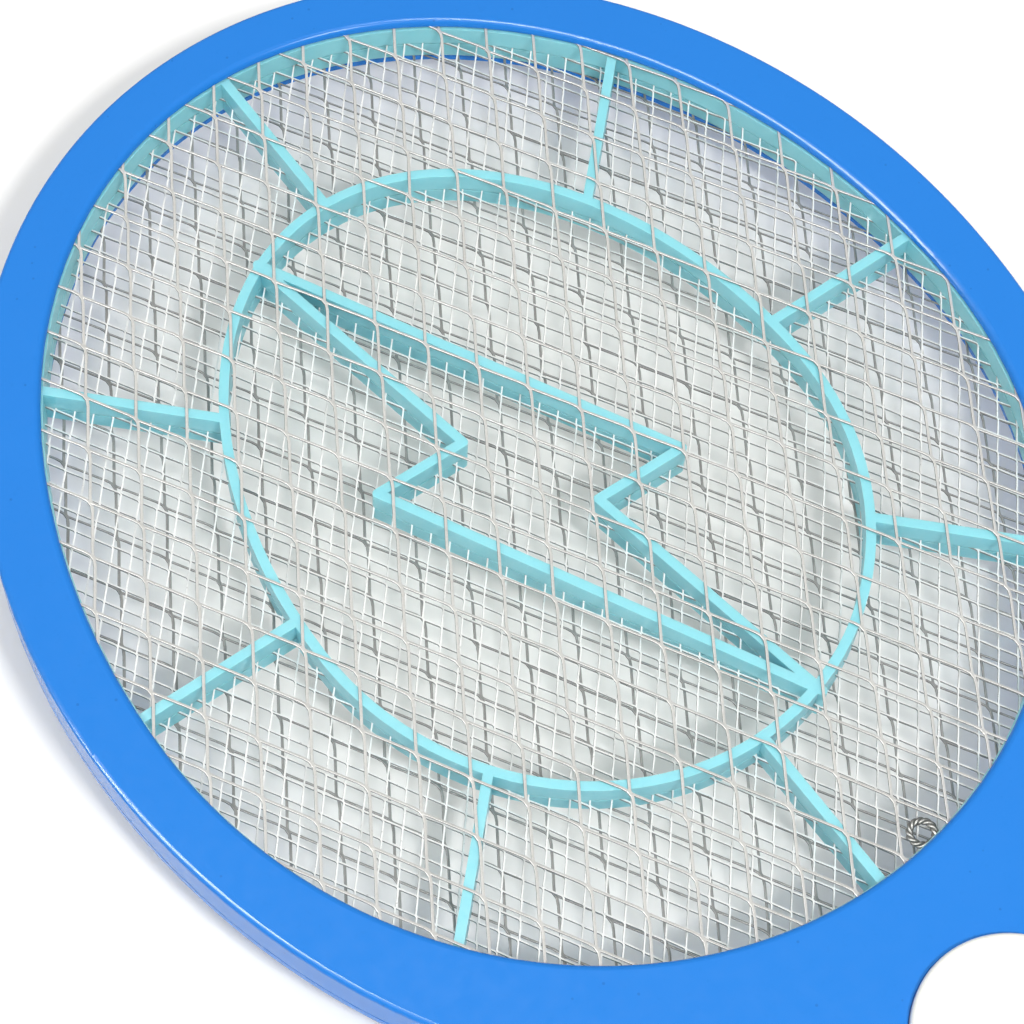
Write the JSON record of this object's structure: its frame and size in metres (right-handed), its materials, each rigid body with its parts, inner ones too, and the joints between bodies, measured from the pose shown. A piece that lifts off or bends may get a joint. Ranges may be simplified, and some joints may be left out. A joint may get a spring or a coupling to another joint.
{
  "type": "electric fly swatter",
  "caption": "Racket-shaped electric fly swatter: oval blue frame round three electrode meshes held by turquoise spacers, with a battery handle, push button and sliding battery door.",
  "frame": {"origin": "on the resting plane of the handle's flat back, under the middle of the whole outline", "axes": "+Y along the handle towards the tip of the head, +Z out of the front face, +X to the right seen from the front with the head up"},
  "size_m": [0.1916, 0.47, 0.0275],
  "materials": {
    "blue_shell": "glossy moulded, fine speckle",
    "screw_steel": "zinc plated",
    "turquoise_spacer": "satin translucent moulding",
    "coarse_mesh": "expanded sheet, satin",
    "fine_mesh": "bright wire",
    "white_panel": "satin white",
    "button": "satin",
    "switch_plunger": "matt black",
    "black_moulding": "matt black",
    "led_lens": "diffused red epoxy",
    "tinned_metal": "tinned",
    "board": "solder resist over copper tracks",
    "ferrite": "sintered",
    "bobbin": "natural nylon",
    "winding": "enamelled copper wire",
    "capacitor_red": "dipped film capacitor",
    "ceramic_blue": "epoxy dipped",
    "resistor_body": "lacquered",
    "cell_jacket": "plain two-tone shrink sleeve",
    "contact_plating": "nickel plated",
    "red_lead": "PVC",
    "black_lead": "PVC"
  },
  "bodies": {
    "racket": {"front_shell": "blue_shell", "rear_shell": "blue_shell", "casing_screws": "screw_steel", "handle_screws": "screw_steel", "front_spider": "turquoise_spacer", "rear_spider": "turquoise_spacer", "front_mesh": "coarse_mesh", "rear_mesh": "coarse_mesh", "inner_mesh": "fine_mesh", "handle_panel": "white_panel", "switch_body": "black_moulding", "led_lamp": "led_lens", "led_legs": "tinned_metal", "circuit_board": "board", "transformer_core": "ferrite", "transformer_bobbin": "bobbin", "transformer_winding": "winding", "storage_capacitor": "capacitor_red", "transistor": "black_moulding", "disc_capacitors": "ceramic_blue", "diodes": "black_moulding", "resistors": "resistor_body", "battery_left": "cell_jacket", "battery_right": "cell_jacket", "battery_nubs": "contact_plating", "positive_contact": "contact_plating", "negative_contact": "contact_plating", "bridge_contact": "contact_plating", "spring_left": "contact_plating", "spring_right": "contact_plating", "lead_terminal": "tinned_metal", "lead_positive": "red_lead", "lead_negative": "black_lead", "lead_middle_mesh": "red_lead", "lead_front_mesh": "black_lead", "lead_rear_mesh": "black_lead"},
    "button": {"push_button": "button", "switch_plunger": "switch_plunger"},
    "door": {"battery_door": "blue_shell"}
  },
  "joints": [
    {"name": "button_press", "type": "slide", "parent": "racket", "child": "button", "axis": [0, 0, -1], "range_m": [0, 0.001], "stiffness_N_per_m": 1600, "springref_m": -0.0001},
    {"name": "door_slide", "type": "slide", "parent": "racket", "child": "door", "axis": [0, -1, 0], "range_m": [0, 0.066]}
  ]
}
